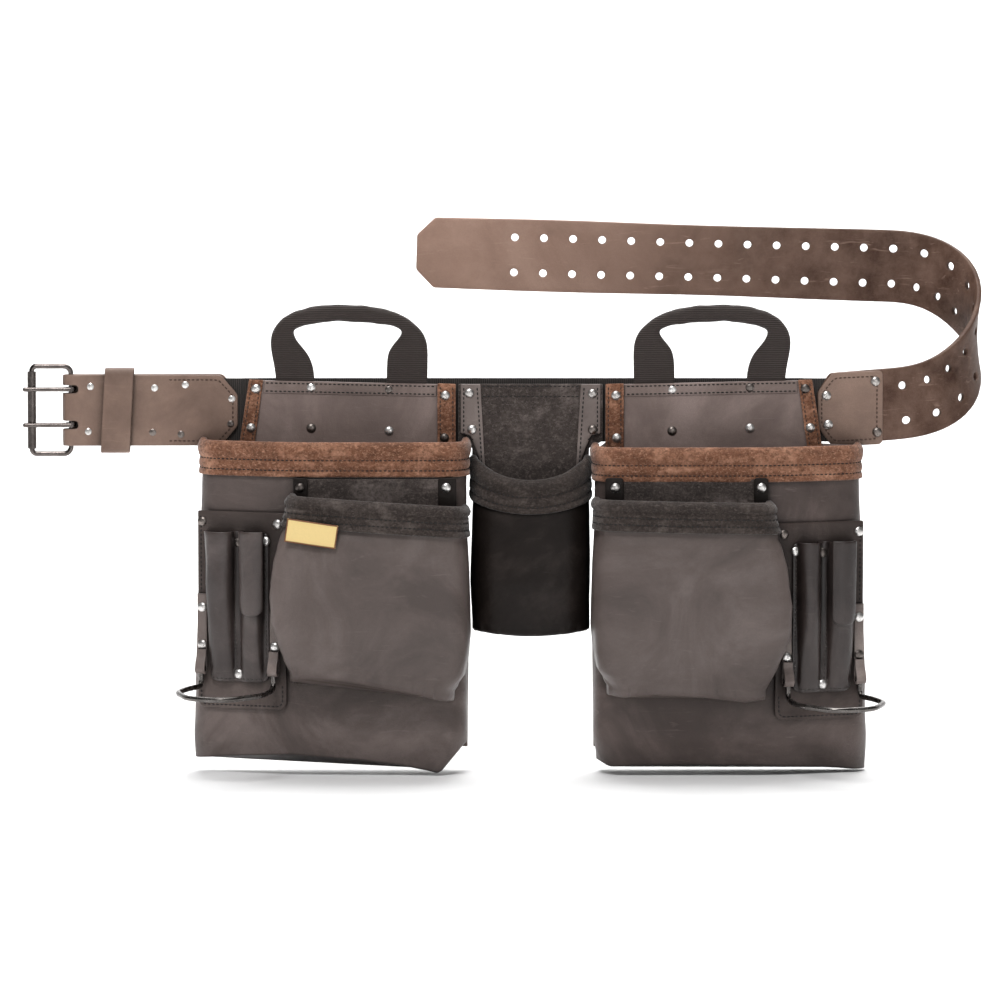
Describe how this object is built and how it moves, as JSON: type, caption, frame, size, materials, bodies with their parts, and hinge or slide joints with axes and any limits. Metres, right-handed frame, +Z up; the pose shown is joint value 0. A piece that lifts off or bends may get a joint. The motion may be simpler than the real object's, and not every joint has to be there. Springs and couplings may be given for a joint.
{
  "type": "tool belt",
  "caption": "Leather carpenter's tool belt with two large bags, a centre pocket, hammer loops, pliers sleeves and a double-prong roller buckle.",
  "frame": {"origin": "middle of the belt's length and height between the two bags, on the rear face that rests against the waist", "axes": "+X along the belt towards the tongue strap, +Y out of the rear face towards the wearer, +Z up"},
  "size_m": [0.8474, 0.2565, 0.4678],
  "materials": {
    "belt_leather": "oiled, satin, mottled",
    "bag_leather": "oiled, satin",
    "dark_leather": "smooth, satin",
    "rust_suede": "suede",
    "black_suede": "suede",
    "webbing": "woven nylon",
    "buckle_steel": "dark nickel, polished",
    "rivet_metal": "nickel, domed",
    "thread": "waxed thread",
    "label": "woven, plain"
  },
  "bodies": {
    "bags_and_belt": {"belt_webbing": "webbing", "belt_lining": "black_suede", "centre_back_panel": "black_suede", "centre_left_strip": "dark_leather", "centre_right_strip": "dark_leather", "centre_rivets": "rivet_metal", "centre_pocket": "dark_leather", "centre_binding": "black_suede", "label_tag": "label", "left_back_leather": "bag_leather", "left_inner_strip": "rust_suede", "left_outer_strip": "rust_suede", "left_yoke_rivets": "rivet_metal", "left_handle_ends": "webbing", "left_main_pouch": "bag_leather", "left_main_binding": "rust_suede", "left_front_pouch": "bag_leather", "left_front_binding": "black_suede", "left_front_lining": "black_suede", "left_front_ears": "bag_leather", "left_tool_patch": "bag_leather", "left_tool_sleeve": "bag_leather", "left_pencil_flap": "bag_leather", "left_hammer_tabs": "bag_leather", "left_pouch_rivets": "rivet_metal", "right_back_leather": "bag_leather", "right_inner_strip": "rust_suede", "right_outer_strip": "rust_suede", "right_yoke_rivets": "rivet_metal", "right_handle_ends": "webbing", "right_main_pouch": "bag_leather", "right_main_binding": "rust_suede", "right_front_pouch": "bag_leather", "right_front_binding": "black_suede", "right_front_lining": "black_suede", "right_front_ears": "bag_leather", "right_tool_patch": "bag_leather", "right_tool_sleeve": "bag_leather", "right_pencil_flap": "bag_leather", "right_hammer_tabs": "bag_leather", "right_pouch_rivets": "rivet_metal"},
    "left_end": {"left_web_tail": "webbing", "left_billet_front": "belt_leather", "left_billet_back": "belt_leather", "billet_rivets": "rivet_metal"},
    "buckle": {"buckle_frame": "buckle_steel"},
    "roller": {"buckle_roller": "buckle_steel"},
    "prong_upper": {"upper_prong": "buckle_steel"},
    "prong_lower": {"lower_prong": "buckle_steel"},
    "keeper": {"keeper_loop": "belt_leather"},
    "tongue": {"right_web_tail": "webbing", "tongue_strap": "belt_leather", "tongue_patch": "belt_leather", "tongue_rivets": "rivet_metal"},
    "handle_left": {"left_handle": "webbing"},
    "handle_right": {"right_handle": "webbing"},
    "loop_left": {"left_hammer_loop": "buckle_steel"},
    "loop_right": {"right_hammer_loop": "buckle_steel"}
  },
  "joints": [
    {"name": "left_end_flex", "type": "hinge", "parent": "bags_and_belt", "child": "left_end", "pos_m": [-0.2545, -0.0041, 0], "axis": [0, 0, -1], "range_deg": [0, 40], "stiffness_Nm_per_rad": 0.3},
    {"name": "buckle_tilt", "type": "hinge", "parent": "left_end", "child": "buckle", "pos_m": [-0.4046, -0.0041, 0], "axis": [0, 0, -1], "range_deg": [-60, 60]},
    {"name": "upper_prong_swing", "type": "hinge", "parent": "buckle", "child": "prong_upper", "pos_m": [-0.4046, -0.0041, 0.0186], "axis": [0, 0, 1], "range_deg": [0, 85]},
    {"name": "lower_prong_swing", "type": "hinge", "parent": "buckle", "child": "prong_lower", "pos_m": [-0.4046, -0.0041, -0.0129], "axis": [0, 0, 1], "range_deg": [0, 85]},
    {"name": "roller_spin", "type": "hinge", "parent": "buckle", "child": "roller", "pos_m": [-0.439, -0.0041, 0], "axis": [0, 0, 1], "continuous": true},
    {"name": "keeper_slide", "type": "slide", "parent": "left_end", "child": "keeper", "axis": [1, 0, 0], "range_m": [-0.006, 0.012]},
    {"name": "tongue_flex", "type": "hinge", "parent": "bags_and_belt", "child": "tongue", "pos_m": [0.251, -0.0041, 0], "axis": [0, 0, 1], "range_deg": [0, 15], "stiffness_Nm_per_rad": 0.6},
    {"name": "left_handle_fold", "type": "hinge", "parent": "bags_and_belt", "child": "handle_left", "pos_m": [-0.1575, -0.00685, 0.03], "axis": [1, 0, 0], "range_deg": [-75, 80], "stiffness_Nm_per_rad": 0.06},
    {"name": "left_hammer_loop_swing", "type": "hinge", "parent": "bags_and_belt", "child": "loop_left", "pos_m": [-0.2574, -0.05674, -0.224], "axis": [-0.9563, 0.2924, 0], "range_deg": [0, 50]},
    {"name": "right_handle_fold", "type": "hinge", "parent": "bags_and_belt", "child": "handle_right", "pos_m": [0.1575, -0.00685, 0.03], "axis": [1, 0, 0], "range_deg": [-75, 80], "stiffness_Nm_per_rad": 0.06},
    {"name": "right_hammer_loop_swing", "type": "hinge", "parent": "bags_and_belt", "child": "loop_right", "pos_m": [0.2574, -0.05674, -0.233], "axis": [-0.9563, -0.2924, 0], "range_deg": [0, 50]}
  ]
}
